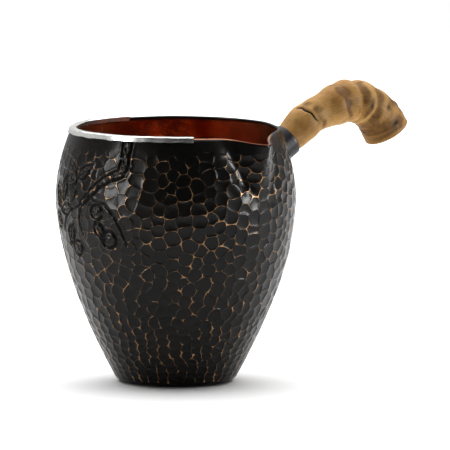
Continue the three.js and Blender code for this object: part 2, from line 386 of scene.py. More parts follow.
def ridge_outlines(places):
    """The corners of the ridges round each blow: (name, place) in order round it."""
    count = len(places)
    # Copies past the edges of the laid-out wall let the ridges close round the cup and end straight at its
    # foot and rim
    turned, owners, sides = [], [], []
    for side, bottom in (("", None), ("low", 0.0), ("high", CLIMB_TOP)):
        mirrored = places if bottom is None else places * (1, -1) + (0, 2 * bottom)
        for shift in (0, -2 * math.pi, 2 * math.pi):
            for owner, (turn, climb) in enumerate(mirrored + (shift, 0)):
                if -0.5 < turn < 2 * math.pi + 0.5 and -0.4 < climb < CLIMB_TOP + 0.4:
                    turned.append((turn, climb))
                    owners.append(owner)
                    sides.append(side)
    _, _, triangles, origins, _, _ = delaunay_2d_cdt([Vector(t) for t in turned], [], [], 0, 1e-9)
    source = [origin[0] for origin in origins]
    outlines = {owner: {} for owner in range(count)}
    for triangle in triangles:
        members = [source[i] for i in triangle]
        (ax, ay), (bx, by), (cx, cy) = (turned[i] for i in members)
        twice = 2 * (ax * (by - cy) + bx * (cy - ay) + cx * (ay - by))
        if abs(twice) < 1e-12:
            continue
        a, b, c = ax * ax + ay * ay, bx * bx + by * by, cx * cx + cy * cy
        middle_turn = (a * (by - cy) + b * (cy - ay) + c * (ay - by)) / twice
        middle_climb = (a * (cx - bx) + b * (ax - cx) + c * (bx - ax)) / twice
        edges = {sides[i] for i in members} - {""}
        name = frozenset(owners[i] for i in members)
        if edges:
            edge = edges.pop()
            name = name | {edge}
            middle_climb = 0.0 if edge == "low" else CLIMB_TOP
        for i in members:
            if i < count and sides[i] == "":
                outlines[owners[i]][name] = np.array([middle_turn, middle_climb])
    for owner, corners in outlines.items():
        here = places[owner]
        outlines[owner] = sorted(corners.items(), key=lambda item: math.atan2(*(item[1] - here)[::-1]))
    return outlines


# The chased branch, in millimetres across the wall and up it: a stem with two grooved sides, pointed leaves
# (across, up, length, half width, degrees) and round fruit with a dotted middle (across, up, radius)
BRANCH_TURN = math.radians(181)
BRANCH_STEM = [(21.5, 88), (21.3, 80), (20, 76.8), (15.5, 75.2), (11, 72.6), (6.5, 68.6), (2.8, 65.4)]
BRANCH_TWIGS = [
    [(6.5, 68.6), (9.5, 66.6), (14, 66), (17.5, 62.5), (20.5, 57.5), (22.5, 52)],
    [(2.8, 65.4), (1.2, 60), (2.6, 54), (5.5, 50.5)],
    [(2.8, 65.4), (-3, 63), (-8, 59.5), (-11, 55)],
]
BRANCH_LEAVES = [
    (-3.5, 74.5, 9.5, 2.3, 112),
    (-9, 70, 9, 2.1, 82),
    (-2.5, 69.2, 6.5, 1.7, 78),
    (3.2, 76.5, 8.5, 1.9, 38),
    (-7.5, 62.6, 8, 2.0, 190),
    (-14.5, 66.5, 9, 2.1, 128),
    (-5, 54, 8, 2.0, 245),
    (11.5, 56.2, 7.5, 1.9, 300),
]
BRANCH_FRUIT = [(10.5, 63.0, 2.6), (15.2, 53.6, 3.0), (-15.5, 58.2, 2.8), (-1.8, 49.6, 2.7)]
GROOVE_DEEP = 0.6
GROOVE_HALF = 0.46


def near_branch(turn, climb):
    """How far a place is across from the branch's middle line, and its height, in millimetres."""
    return turned_from(BRANCH_TURN, turn) * BELLY_R, height_at(climb)


def in_branch_zone(turn, climb):
    across, z = near_branch(turn, climb)
    return -21 < across < 25 and z > 45


def to_line(points, line):
    """The distance of each point from a line through these corners, and its share along it."""
    line = np.array(line, float)
    best = np.full(len(points), 1e9)
    share = np.zeros(len(points))
    for i, (start, end) in enumerate(zip(line[:-1], line[1:])):
        along = np.clip((points - start) @ (end - start) / np.sum((end - start) ** 2), 0, 1)
        distance = np.linalg.norm(points - start - along[:, None] * (end - start), axis=1)
        closer = distance < best
        best = np.where(closer, distance, best)
        share = np.where(closer, (i + along) / (len(line) - 1), share)
    return best, share


def chase(turn, climb):
    """How deep the chasing tool went at each point, how high it threw an edge up, and the raised forms."""
    across, z = near_branch(turn, climb)
    points = np.column_stack([across, z])
    groove = np.zeros(len(points))
    edge = np.zeros(len(points))

    def cut(distance, strength=1.0):
        nonlocal groove, edge
        groove = np.maximum(groove, strength * bell(distance, 0, GROOVE_HALF))
        edge = np.maximum(edge, strength * bell(distance, 0.85, 0.3))

    distance, share = to_line(points, BRANCH_STEM)
    half = 1.75 - 1.0 * share
    knots = 0.35 * np.sin(share * 34 + 1.0)
    cut(np.abs(distance - half - 0.3 * knots))
    inside = soft_step(half - distance, 0, 0.5)
    bark = np.sin(share * 75) * np.sin(distance * 4.5 + 0.6)
    raised = np.maximum(0, inside * (0.16 + 0.22 * bark))
    for twig in BRANCH_TWIGS:
        distance, share = to_line(points, twig)
        cut(distance, 1 - 0.35 * share)
    for x, up, length, half_width, angle in BRANCH_LEAVES:
        c, s = math.cos(math.radians(angle)), math.sin(math.radians(angle))
        along = (across - x) * c + (z - up) * s
        side = (up - z) * c + (across - x) * s
        share = np.clip(along / length + 0.5, 0, 1)
        blade = half_width * np.sin(math.pi * share ** 0.8)
        past = np.clip(np.abs(along) - length / 2, 0, None)
        cut(np.hypot(np.abs(side) - blade, past) * 0.95)
        cut(np.hypot(side, past * 2), 0.6)
        inside = soft_step(blade - np.abs(side), 0, 0.6) * (past == 0)
        veins = np.sin(along * 3.4 + np.abs(side) * 3.0)
        raised = np.maximum(raised, inside * (0.16 + 0.04 * veins))
    for x, up, radius in BRANCH_FRUIT:
        away = np.hypot(across - x, z - up)
        cut(np.abs(away - radius))
        raised = np.maximum(raised, 0.4 * soft_step(radius - away, 0, radius))
        for dot in range(5):
            angle = dot * 2 * math.pi / 5 + x
            spot = np.hypot(across - x - 1.15 * math.cos(angle), z - up - 1.15 * math.sin(angle))
            groove = np.maximum(groove, 0.8 * bell(spot, 0, 0.3))
    return groove, edge * (1 - groove), raised


class Sheet:
    """The cup's points as they are made: where each is, how worn its patina is, and how bare it is."""

    def __init__(self):
        self.points = []
        self.worn = []
        self.bare = []
        self.faces = []

    def ring(self, points, bare, worn=0.0):
        start = len(self.points)
        self.points.extend(map(tuple, points))
        self.worn.extend([worn] * len(points))
        self.bare.extend(np.broadcast_to(bare, len(points)))
        return list(range(start, start + len(points)))

    def join(self, first, second):
        count = len(first)
        for i in range(count):
            after = (i + 1) % count
            self.faces.append((first[i], first[after], second[after], second[i]))

    def close(self, ring, middle):
        for i in range(len(ring)):
            self.faces.append((ring[i], ring[(i + 1) % len(ring)], middle))

    def grow(self, previous, points, bare, worn=0.0):
        """A new ring, joined to the one before it."""
        added = self.ring(points, bare, worn)
        self.join(previous, added)
        return added


def hammer_wall(sheet):
    """Makes the outside wall out of dished blows with ridges between them, and finds its two edges."""
    places = strike_places()
    outlines = ridge_outlines(places)
    flat, out, worn = [], [], []
    corners, ridges, bows = {}, {}, {}

    def bowed(start, end, bow, share):
        return start + (end - start) * share + bow * 4 * share * (1 - share)

    def new_point(place, height, wear):
        flat.append(place)
        out.append(height)
        worn.append(wear)
        return len(flat) - 1

    def ridge(first, second):
        """The points between two corners, shared by the blows on both sides."""
        (name_a, a), (name_b, b) = first, second
        for name, place in (first, second):
            if name not in corners:
                corners[name] = new_point(tuple(place), 0.0, 0.0)
        if (name_a, name_b) in ridges:
            return ridges[name_a, name_b]
        middle = (a + b) / 2
        z = float(height_at(middle[1]))
        length = float(np.hypot(*(b - a)) * wall_radius(z))
        step = FINE_STEP if in_branch_zone(*middle) else RIDGE_STEP
        pieces = max(1, round(length / step))
        upright = abs(b[1] - a[1]) / (np.hypot(*(b - a)) + 1e-9)
        # Low down, the patina is rubbed off the upright ridges most
        low_down = 1 - float(soft_step(z, 20, 50))
        wear = dice.uniform(0.55, 1.0) * (1 - low_down) + low_down * dice.uniform(0.65, 1.15) * upright ** 1.2
        bow = np.array([a[1] - b[1], b[0] - a[0]]) * dice.uniform(-0.17, 0.17) * (pieces > 1)
        if name_a & {"low", "high"} and name_b & {"low", "high"}:
            bow = bow * 0
        bows[name_a, name_b] = bow
        bows[name_b, name_a] = bow
        ids = [new_point(tuple(bowed(a, b, bow, i / pieces)), 0.0, wear) for i in range(1, pieces)]
        for name in (name_a, name_b):
            worn[corners[name]] = max(worn[corners[name]], wear)
        ridges[name_a, name_b] = ids
        ridges[name_b, name_a] = ids[::-1]
        return ids

    for corner_list in outlines.values():
        loop, local = [], []
        for first, second in zip(corner_list, corner_list[1:] + corner_list[:1]):
            ids = ridge(first, second)
            loop.append(corners[first[0]])
            loop.extend(ids)
            pieces = len(ids) + 1
            bow = bows[first[0], second[0]]
            local.extend(bowed(first[1], second[1], bow, i / pieces) for i in range(pieces))
        local = np.array(local)
        middle = local.mean(0)
        scale = float(wall_radius(height_at(middle[1])))
        size = float(np.linalg.norm(local - middle, axis=1).mean()) * scale
        fine = in_branch_zone(*middle)
        # The rings of the dish are this far in from its ridges, and get rounder toward its lowest place
        insets = [0.2, 0.5, 0.85, 1.2, 1.55, 1.9] if fine else [0.22, 0.75, 1.5]
        shares = [1 - inset / size for inset in insets if inset < 0.8 * size]
        deep = dice.uniform(0.14, 0.25) * min(1.0, size / 2.3) * (0.55 if fine else 1.0)
        lean = dice.uniform(-0.16, 0.16, 2) * size / scale
        rings = [loop]
        shape = local - middle
        for number, share in enumerate(shares):
            for _ in range(2 if number == 0 else 1):
                shape = 0.25 * np.roll(shape, 1, 0) + 0.5 * shape + 0.25 * np.roll(shape, -1, 0)
            spots = middle + shape * share + lean * (1 - share) * 1.2
            height = -deep * (1 - share * share) - 0.03
            rings.append([new_point(tuple(spot), height, 0.0) for spot in spots])
        centre = new_point(tuple(middle + lean), -deep - 0.03, 0.0)
        for outer, inner in zip(rings, rings[1:]):
            sheet.join(outer, inner)
        sheet.close(rings[-1], centre)

    flat = np.array(flat)
    turn, z = flat[:, 0], height_at(flat[:, 1])
    out, worn = np.array(out), np.array(worn)
    crest = out == 0.0
    plain = on_wall(turn, z)
    marked = 1 - soft_step(z + 1.2 * ripple(plain, 7.0), SMOOTH_BAND_FROM, SMOOTH_BAND_TO)
    out += np.where(crest, 0.05 + 0.05 * ripple(plain, 4.0, 3.0), 0.0)
    worn *= np.clip(0.85 + 0.55 * ripple(plain, 2.2, 9.0), 0, 1.2)
    groove, edge, raised = chase(turn, flat[:, 1])
    # The hammering and the wear are faint where the branch is chased
    quiet = 1 - 0.8 * np.clip(groove + 2.5 * raised, 0, 1)
    out = out * marked * quiet + 1.2 * raised + 0.2 * edge - GROOVE_DEEP * groove
    out += 0.12 * ripple(plain, 14.0, 5.0) * marked
    fuller = np.clip(np.cos(turn - FULLER_TURN), 0, 1) ** 2
    out += FULLER_OUT * fuller * bell(z, 0.43 * RIM_Z, 0.24 * RIM_Z)
    edge_worn = 0.62 * edge * np.clip(0.6 + 1.6 * ripple(plain, 3.0, 2.0), 0, 1.3)
    worn = np.maximum(worn * marked * quiet, edge_worn)
    sheet.points = [tuple(p) for p in pinch(on_wall(turn, z, out))]
    sheet.worn = list(worn)
    sheet.bare = [0.0] * len(worn)
    around = turn % (2 * math.pi)

    def edge_ring(climb):
        return sorted((i for i, place in enumerate(flat) if place[1] == climb), key=lambda i: around[i])

    low, high = edge_ring(0.0), edge_ring(CLIMB_TOP)
    return around[low], low, around[high], high, list(groove)


def curve_points(start, corner, end, count):
    """A rounded corner between two points, without its ends."""
    shares = [i / count for i in range(1, count)]
    return [tuple((1 - t) ** 2 * np.array(start) + 2 * t * (1 - t) * np.array(corner) + t * t * np.array(end))
            for t in shares]


def turned_ring(turn, radius, z):
    return np.column_stack([radius * np.cos(turn), radius * np.sin(turn), np.full(len(turn), z)])


def add_piece(name, points, faces, material, masks=None, crease=None):
    """One closed piece from points in millimetres, with its masks, its finish and its smooth shading."""
    mesh = bpy.data.meshes.new(name)
    mesh.from_pydata([tuple(c * MM for c in point) for point in points], [], faces)
    shell = bmesh.new()
    shell.from_mesh(mesh)
    bmesh.ops.recalc_face_normals(shell, faces=shell.faces)
    shell.to_mesh(mesh)
    shell.free()
    mesh.shade_smooth()
    if crease:
        mesh.set_sharp_from_angle(angle=math.radians(crease))
    for mask, values in (masks or {}).items():
        values = np.asarray(values, np.float32)
        kind, field = ("FLOAT", "value") if values.ndim == 1 else ("FLOAT_VECTOR", "vector")
        mesh.attributes.new(mask, kind, "POINT").data.foreach_set(field, values.ravel())
    mesh.materials.append(material)
    piece = bpy.data.objects.new(name, mesh)
    bpy.context.scene.collection.objects.link(piece)
    return piece


def patinated_copper():
    finish = new_finish("patinated_copper")
    place = finish.place()
    bare = finish.mask("bare")
    chased = finish.mask("chased")
    cloud = finish.mottle(place, 45, 3)
    fine = finish.mottle(place, 520, 3)
    rubbed = (finish.mask("worn") + (fine - 0.5) * 0.7).between(0.4, 1.05)
    dark = finish.mix(cloud.between(0.35, 0.7), (0.0040, 0.0038, 0.0036, 1), (0.0085, 0.0068, 0.0055, 1))
    dark = finish.mix(chased, dark, (0.003, 0.003, 0.003, 1))
    ridge = finish.mix(fine.between(0.3, 0.7), (0.22, 0.118, 0.05, 1), (0.40, 0.232, 0.112, 1))
    outside = finish.mix(rubbed, dark, ridge)
    stain = finish.mottle(place, 60, 3)
    inside = finish.mix(stain.between(0.3, 0.7), (0.2, 0.05, 0.014, 1), (0.78, 0.36, 0.16, 1))
    return finish.surface(
        Base_Color=finish.mix(bare, outside, inside),
        Metallic=rubbed.larger(bare).larger(chased),
        Roughness=0.2 + cloud * 0.07 + rubbed * 0.2 + chased * 0.3 + fine * 0.05,
        Specular_IOR_Level=0.12,
        Normal=finish.bumps(fine + cloud * 1.5, 0.00003, 0.35),
    )


sheet = Sheet()
low_turns, low_ring, high_turns, high_ring, chased = hammer_wall(sheet)


# Hands and filing keep the lip bare along the spout's side of the rim
BARE_LIP_TURN = math.radians(268)
lip_rubbed = 1 - soft_step(abs(turned_from(BARE_LIP_TURN, high_turns)), 0.45, 0.65)

# The rim is rolled over and the inside wall goes down to the floor, with the soft backs of the blows on it
LIP_STEPS = 7
last_ring = high_ring
for step in range(1, LIP_STEPS):
    angle = step * math.pi / LIP_STEPS
    lip = turned_ring(high_turns, RIM_R - LIP_R + LIP_R * math.cos(angle), LIP_Z + LIP_R * math.sin(angle))
    last_ring = sheet.grow(last_ring, pinch(lip), lip_rubbed * min(1.0, (step - 1) / 2))
for z in [LIP_Z, LIP_Z - 0.4, LIP_Z - 0.9] + list(np.linspace(LIP_Z - 1.5, FLOOR_CORNER_Z, 33)):
    inside_radius = float(wall_radius(z)) - WALL
    backs = 0.5 * ripple(turned_ring(high_turns, inside_radius, z), 5.0, 4.0) * soft_step(RIM_Z - z, 1, 5)
    inner = pinch(turned_ring(high_turns, inside_radius + backs, z))
    last_ring = sheet.grow(last_ring, inner, np.maximum(lip_rubbed, soft_step(RIM_Z - z, 0.7, 1.7)))
floor_start = (float(wall_radius(FLOOR_CORNER_Z)) - WALL, FLOOR_CORNER_Z)
floor_bend = curve_points(floor_start, (FOOT_R - WALL, FLOOR), (FLOOR_R, FLOOR), 5)
for radius, z in floor_bend + [(FLOOR_R, FLOOR), (12, FLOOR), (8, FLOOR), (4, FLOOR)]:
    last_ring = sheet.grow(last_ring, turned_ring(high_turns, radius, z), bare=1.0)
sheet.close(last_ring, sheet.ring([(0, 0, FLOOR)], bare=1.0)[0])

# The foot: a rounded corner and the flat that the cup stands on
last_ring = low_ring
foot_start = (float(wall_radius(BASE_CORNER_Z)), BASE_CORNER_Z)
for radius, z in curve_points(foot_start, (FOOT_R, 0), (BASE_R, 0), 5) + [(BASE_R, 0), (12, 0), (6, 0)]:
    foot = turned_ring(low_turns, radius, z)
    last_ring = sheet.grow(last_ring, foot, bare=0.0, worn=0.35 if 0 < z < 1 else 0.0)
sheet.close(last_ring, sheet.ring([(0, 0, 0)], bare=0.0)[0])

chased += [0.0] * (len(sheet.points) - len(chased))
vessel_masks = {"worn": sheet.worn, "bare": sheet.bare, "chased": chased}
cup = add_piece("hammered_cup", sheet.points, sheet.faces, patinated_copper(), vessel_masks)
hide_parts("vessel")
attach(cup, "root")

# ---------------------------------------------------------------- The silver rim strip
# A strip of thin silver, folded over the rim into a U and soldered, over nearly half of the rim away from
# the handle. Its ends are cut square, and light planishing leaves soft flats on it.

STRIP_FROM = math.radians(84)
STRIP_TO = math.radians(246)
STRIP_THICK = 0.35
STRIP_SKIRT = 1.75
# The gap between two pieces, which is full of solder, braze or glue
GAP = 0.3


def ring_skin(rows, ends="closed"):
    """Points and faces of a skin over a row of equal rings, closed at its ends or joined into a loop."""
    rows = np.array(rows, float)
    count, around = rows.shape[:2]
    points = [tuple(p) for p in rows.reshape(-1, 3)]
    faces = []
    for i in range(count if ends == "loop" else count - 1):
        here, there = i * around, (i + 1) % count * around
        for j in range(around):
            after = (j + 1) % around
            faces.append((here + j, here + after, there + after, there + j))
    if ends == "closed":
        for start in (0, (count - 1) * around):
            points.append(tuple(np.mean(points[start:start + around], axis=0)))
            faces += [(start + j, start + (j + 1) % around, len(points) - 1) for j in range(around)]
    return points, faces


def strip_section(turn):
    """The U section of the strip at one turn, from the outer edge of its skirt over the rim and back."""
    reach = GAP + STRIP_THICK
    top = RIM_Z + reach
    low = top - STRIP_SKIRT + 0.08 * math.sin(23 * turn) + 0.05 * math.sin(41 * turn)
    flats = 0.05 * abs(math.sin(19 * turn)) + 0.03 * math.sin(33 * turn)

    def arc(offset, start, end, count):
        middle_r, half = RIM_R - WALL / 2, WALL / 2 + offset
        steps = [start + (end - start) * i / count for i in range(count + 1)]
        return [(middle_r + half * math.cos(a), RIM_Z + offset - 0.3 * (1 - math.sin(a))) for a in steps]

    wall = float(wall_radius(low))
    outer = [(wall + reach, low), (float(wall_radius(low + 0.8)) + reach + flats, low + 0.7)]
    outer += [(RIM_R + reach + flats * 0.6, top - 0.42)]
    outer += arc(reach + flats * 0.5, 0.15, math.pi - 0.15, 10)
    outer += [(wall - WALL - reach, low)]
    inner = [(wall - WALL - GAP, low)]
    inner += arc(GAP, math.pi - 0.15, 0.15, 6)
    inner += [(wall + GAP, low)]
    return np.array([(r * math.cos(turn), r * math.sin(turn), z) for r, z in outer + inner])


def silver():
    finish = new_finish("silver")
    place = finish.place()
    tarnish = finish.mottle(place, 140, 3).between(0.45, 0.8)
    fine = finish.mottle(place, 900, 2)
    colour = finish.mix(tarnish, (0.86, 0.87, 0.84, 1), (0.58, 0.58, 0.55, 1))
    return finish.surface(
        Base_Color=colour,
        Metallic=1.0,
        Roughness=0.22 + tarnish * 0.12 + fine * 0.05,
        Normal=finish.bumps(finish.mottle(place, 220, 1), 0.00005, 0.5),
    )


strip_turns = np.linspace(STRIP_FROM, STRIP_TO, 220)
strip_points, strip_faces = ring_skin([pinch(strip_section(turn)) for turn in strip_turns])
strip = add_piece("silver_strip", strip_points, strip_faces, silver(), crease=50)
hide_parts("silver_rim_strip")
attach(strip, "root")

# ---------------------------------------------------------------- The handle socket
# A short copper tube, darkened like the cup, cut to the curve of the wall and brazed on at a slant. The
# handle's tenon sits in it. Its outer edge is filed round.

SOCKET_END = Vector((47.5, 0, 82.2))
SOCKET_RISE = math.radians(33)
SOCKET_OUTER_R = 5.9
SOCKET_INNER_R = 5.2
along_socket = Vector((math.cos(SOCKET_RISE), 0, math.sin(SOCKET_RISE)))
side_of_socket = Vector((0, 1, 0))
top_of_socket = along_socket.cross(side_of_socket) * -1


def round_socket(angle, radius, back):
    """A point this far round the socket's axis, out from it, and back from its outer end."""
    out = side_of_socket * math.cos(angle) + top_of_socket * math.sin(angle)
    return SOCKET_END - along_socket * back + out * radius


def back_to_wall(angle, radius, clear):
    """How far back from the socket's end a line along it meets the wall, less a clearance."""
    near, far = 0.0, 14.0
    for _ in range(30):
        back = (near + far) / 2
        x, y, z = round_socket(angle, radius, back)
        outside = math.hypot(x, y) - float(wall_radius(min(z, RIM_Z))) - clear
        near, far = (back, far) if outside > 0 else (near, back)
    return near


def darkened_copper():
    finish = new_finish("darkened_copper")
    place = finish.place()
    cloud = finish.mottle(place, 160, 4)
    fine = finish.mottle(place, 1100, 3)
    rubbed = (finish.mask("worn") + (fine - 0.5) * 0.6).between(0.4, 1.0)
    dark = finish.mix(cloud.between(0.35, 0.7), (0.012, 0.0125, 0.016, 1), (0.026, 0.026, 0.03, 1))
    return finish.surface(
        Base_Color=finish.mix(rubbed, dark, (0.42, 0.24, 0.15, 1)),
        Metallic=rubbed * 0.7,
        Roughness=0.34 + cloud * 0.12,
        Specular_IOR_Level=0.2,
        Normal=finish.bumps(cloud * 2 + fine, 0.00006, 0.5),
    )


SOCKET_ROUND = 96
SOCKET_EDGE = 0.22
socket_rows, socket_worn = [], []
for i in range(SOCKET_ROUND):
    angle = i * 2 * math.pi / SOCKET_ROUND
    flats = 0.06 * math.sin(9 * angle + 1)
    outer_back = back_to_wall(angle, SOCKET_OUTER_R, GAP)
    inner_back = back_to_wall(angle, SOCKET_INNER_R, GAP)
    row = []
    for share in (1, 0.85, 0.7, 0.55, 0.4, 0.25, 0.1, 0):
        row.append((SOCKET_OUTER_R + flats * (0.2 + 0.8 * share), blend(SOCKET_EDGE, outer_back, share)))
    row += [(SOCKET_OUTER_R - 0.07, 0.07), (SOCKET_OUTER_R - SOCKET_EDGE, 0), (SOCKET_INNER_R + 0.12, 0)]
    row += [(SOCKET_INNER_R, 0.12), (SOCKET_INNER_R, inner_back / 2), (SOCKET_INNER_R, inner_back)]
    socket_rows.append([round_socket(angle, radius, back) for radius, back in row])
    socket_worn += [0] * 7 + [0.2, 0.6, 0.75, 0.7, 0.3, 0, 0]
socket_points, socket_faces = ring_skin(socket_rows, "loop")
socket = add_piece(
    "socket_tube", socket_points, socket_faces, darkened_copper(), {"worn": socket_worn}, crease=50
)
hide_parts("handle_socket")
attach(socket, "root")

# ---------------------------------------------------------------- The braze
# A bead of braze that ran round the foot of the socket. It is uneven, with a hollow face between the tube
# and the wall, and it was darkened with the cup.


def braze_alloy():
    finish = new_finish("braze_alloy")
    place = finish.place()
    cloud = finish.mottle(place, 420, 3)
    colour = finish.mix(cloud.between(0.4, 0.7), (0.03, 0.026, 0.022, 1), (0.11, 0.085, 0.05, 1))
    return finish.surface(
        Base_Color=colour,
        Metallic=0.45,
        Roughness=0.4 + cloud * 0.15,
        Normal=finish.bumps(cloud, 0.0001, 0.6),
    )


BEAD_ROUND = 120
BEAD_REACH = 1.15
BEAD_CLIMB = 1.0
BEAD_CLEAR = 0.22
bead_rows = []
for i in range(BEAD_ROUND):
    angle = i * 2 * math.pi / BEAD_ROUND
    swell = 1 + 0.22 * math.sin(7 * angle + 1) + 0.14 * math.sin(13 * angle)
    tube_r, reach, climb = SOCKET_OUTER_R + 0.16, BEAD_REACH * swell, BEAD_CLIMB * swell
    at_tube = back_to_wall(angle, tube_r, BEAD_CLEAR)
    at_wall = back_to_wall(angle, tube_r + reach, BEAD_CLEAR)
    section = [(tube_r, at_tube), (tube_r, at_tube - climb)]
    for share in (0.25, 0.5, 0.75):
        sag = 0.3 * math.sin(math.pi * share)
        back = blend(at_tube - climb, at_wall, share) + sag * 0.5
        section.append((tube_r + reach * share - sag * 0.35, back))
    section += [(tube_r + reach, at_wall - 0.08), (tube_r + reach, at_wall)]
    section.append((tube_r + reach / 2, back_to_wall(angle, tube_r + reach / 2, BEAD_CLEAR)))
    bead_rows.append([round_socket(angle, radius, back) for radius, back in section])
bead_points, bead_faces = ring_skin(bead_rows, "loop")
bead = add_piece("braze_bead", bead_points, bead_faces, braze_alloy(), crease=60)
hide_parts("socket_braze_bead")
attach(bead, "root")

# ---------------------------------------------------------------- The handle
# A length of bamboo root with its natural bend: close nodes, each with a swelling, a notch behind it and
# root scars round it, and one drying crack. Its end is turned down to a tenon that is glued in the socket.

HANDLE_LINE = [
    (42.64, 79.04), (50.1, 84.2), (56.3, 88.8), (64.5, 92.1), (72.7, 94.2),
    (78.8, 93.3), (83.9, 90.2), (87.6, 86.4), (89.9, 82.7),
]
TENON_R = 4.9
SHOULDER = 6.1
HANDLE_SHARES = [0, 0.15, 0.3, 0.5, 0.66, 0.8, 0.93, 1]
HANDLE_RADII = [5.4, 6.2, 6.1, 7.2, 7.5, 7.5, 8.3, 8.4]
# Each node: its share along the handle, its height, its width, and how deep the notch past it is
NODES = [
    (0.17, 0.3, 0.04, 0.1), (0.44, 0.5, 0.05, 0.15), (0.565, 0.3, 0.04, 0.9), (0.67, 0.65, 0.042, 0.3),
    (0.79, 0.25, 0.036, 0.2), (0.87, 0.25, 0.032, 0.2), (0.94, 0.2, 0.026, 0.2),
]
# Brown patches and root scars: share along the handle, degrees round it from its far side, reach along it
# (in shares) and round it (in degrees), and strength
PATCHES = [
    (0.02, 165, 0.03, 30, 0.5), (0.06, 235, 0.02, 20, 0.3), (0.23, 110, 0.03, 45, 0.8),
    (0.25, 215, 0.025, 40, 0.7), (0.3, 150, 0.05, 25, 0.35), (0.475, 120, 0.035, 34, 1.1),
    (0.5, 190, 0.028, 30, 1.1), (0.52, 240, 0.03, 20, 0.5), (0.62, 118, 0.026, 36, 1.1),
    (0.635, 170, 0.022, 24, 0.8), (0.68, 200, 0.018, 26, 0.9), (0.72, 130, 0.016, 22, 0.7),
    # The patches at 0.8 (232 degrees) and 0.88 (238 degrees), low on the near side, are painted shade
    (0.8, 232, 0.03, 34, 0.9), (0.88, 238, 0.03, 30, 0.9), (0.84, 120, 0.02, 24, 0.6),
    (0.95, 200, 0.02, 50, 0.7), (0.12, 20, 0.05, 50, 0.6), (0.36, 330, 0.04, 45, 0.8),
    (0.5, 30, 0.03, 40, 0.9), (0.7, 350, 0.03, 45, 0.9), (0.9, 40, 0.03, 40, 0.8),
]
SCARS = [
    (0.675, 186, 0.010, 9, 1.0), (0.735, 146, 0.008, 8, 0.8), (0.815, 158, 0.010, 9, 0.9),
    (0.925, 176, 0.016, 13, 1.2), (0.47, 158, 0.006, 6, 0.5), (0.585, 205, 0.007, 7, 0.6),
    (0.78, 205, 0.007, 7, 0.5), (0.9, 112, 0.009, 9, 0.8), (0.4, 40, 0.008, 8, 0.8),
    (0.55, 350, 0.009, 9, 0.9), (0.67, 50, 0.009, 9, 0.9), (0.78, 10, 0.010, 9, 1.0),
    (0.87, 320, 0.010, 10, 0.9), (0.19, 300, 0.008, 8, 0.7), (0.67, 290, 0.009, 9, 0.8),
    (0.87, 268, 0.010, 9, 0.8),
]
# The drying crack: its share along the handle, its degrees, its half length round it and its width
CRACK_AT = 0.195
CRACK_TURN = math.radians(137)
CRACK_HALF = 1.05
CRACK_WIDTH = 0.0075
HANDLE_ROUND = 110
HANDLE_ROWS = 230


def smooth_line(corners, count):
    """Evenly spaced points on a smooth curve through these corners, and the way it runs at each."""
    corners = np.array(corners, float)
    full = np.vstack([2 * corners[0] - corners[1], corners, 2 * corners[-1] - corners[-2]])
    dense = []
    for before, start, end, after in zip(full, full[1:], full[2:], full[3:]):
        for t in np.arange(0, 1, 0.02):
            first = (-t + 2 * t * t - t ** 3) * before + (2 - 5 * t * t + 3 * t ** 3) * start
            dense.append((first + (t + 4 * t * t - 3 * t ** 3) * end + (t ** 3 - t * t) * after) / 2)
    dense = np.array(dense + [corners[-1]])
    lengths = np.concatenate([[0], np.cumsum(np.linalg.norm(np.diff(dense, axis=0), axis=1))])
    at = np.linspace(0, lengths[-1], count)
    line = np.column_stack([np.interp(at, lengths, dense[:, k]) for k in range(dense.shape[1])])
    return at, line, np.gradient(line, axis=0)


def oval(along, reach, side, reach_round):
    """1 in the middle of an oval mark, and less and less away from it."""
    return np.exp(-((along / reach) ** 2) - (side / reach_round) ** 2)


